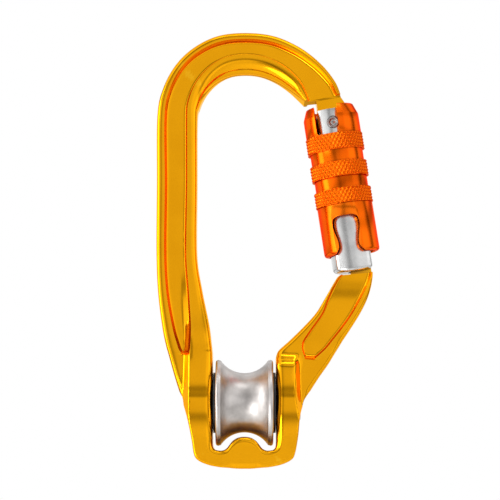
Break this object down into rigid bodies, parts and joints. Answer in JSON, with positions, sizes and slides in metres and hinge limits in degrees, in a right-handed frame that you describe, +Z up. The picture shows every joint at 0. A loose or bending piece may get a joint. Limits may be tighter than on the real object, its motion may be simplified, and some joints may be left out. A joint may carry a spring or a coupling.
{
  "type": "pulley carabiner",
  "caption": "Pear-shaped aluminium carabiner with a grooved pulley sheave between its cheeks and a hinged gate locked by a knurled sleeve.",
  "frame": {"origin": "anchor seat: the top of the inside of the bow, in the middle of the bar's thickness", "axes": "+Z up from the sheave to the bow; X across the carabiner with the gate on +X; Y through the bar's thickness and along the gate hinge"},
  "size_m": [0.0689, 0.0262, 0.1345],
  "materials": {
    "gold_anodised_aluminium": "gold anodised, polished",
    "orange_anodised_aluminium": "orange anodised, knurled",
    "gate_aluminium": "clear anodised, tumbled",
    "sheave_aluminium": "turned, clear anodised",
    "rivet_steel": "stainless, formed",
    "axle_steel": "ground",
    "spring_steel": "drawn wire",
    "bush_bronze": "sintered",
    "washer_polymer": "moulded"
  },
  "bodies": {
    "frame": {"frame": "gold_anodised_aluminium", "sheave_axle": "axle_steel"},
    "sheave": {"sheave": "sheave_aluminium", "sheave_bush_left": "bush_bronze", "sheave_bush_right": "bush_bronze"},
    "washer_left": {"thrust_washer_left": "washer_polymer"},
    "washer_right": {"thrust_washer_right": "washer_polymer"},
    "gate": {"gate_body": "gate_aluminium", "gate_hinge_rivet": "rivet_steel", "gate_spring": "spring_steel", "sleeve_spring": "spring_steel", "sleeve_stop_pin": "axle_steel"},
    "plunger": {"gate_plunger": "axle_steel"},
    "guide_ring": {"sleeve_guide_ring": "washer_polymer"},
    "sleeve": {"lock_sleeve": "orange_anodised_aluminium", "sleeve_snap_ring": "spring_steel"}
  },
  "joints": [
    {"name": "sheave_spin", "type": "hinge", "parent": "frame", "child": "sheave", "pos_m": [0, 0, -0.1021], "axis": [1, 0, 0], "continuous": true},
    {"name": "washer_left_spin", "type": "hinge", "parent": "frame", "child": "washer_left", "pos_m": [-0.00918, 0, -0.1021], "axis": [1, 0, 0], "continuous": true},
    {"name": "washer_right_spin", "type": "hinge", "parent": "frame", "child": "washer_right", "pos_m": [0.00918, 0, -0.1021], "axis": [1, 0, 0], "continuous": true},
    {"name": "gate_swing", "type": "hinge", "parent": "frame", "child": "gate", "pos_m": [0.0273, 0, -0.0161], "axis": [0, 1, 0], "range_deg": [0, 22], "stiffness_Nm_per_rad": 0.3, "springref_deg": -28.65},
    {"name": "plunger_slide", "type": "slide", "parent": "gate", "child": "plunger", "axis": [0.1483, 0, -0.9889], "range_m": [0, 0.0012], "deforming": ["gate_spring"]},
    {"name": "sleeve_slide", "type": "slide", "parent": "gate", "child": "guide_ring", "axis": [0.1483, 0, -0.9889], "range_m": [0, 0.0023], "stiffness_N_per_m": 900, "springref_m": -0.004, "deforming": ["sleeve_spring"]},
    {"name": "sleeve_turn", "type": "hinge", "parent": "guide_ring", "child": "sleeve", "pos_m": [0.0273, 0, -0.0161], "axis": [0.1483, 0, -0.9889], "range_deg": [0, 75], "stiffness_Nm_per_rad": 0.02, "springref_deg": -28.65}
  ],
  "couplings": [
    {"joint": "plunger_slide", "follows": "gate_swing", "m_per_rad": 0.002943}
  ]
}
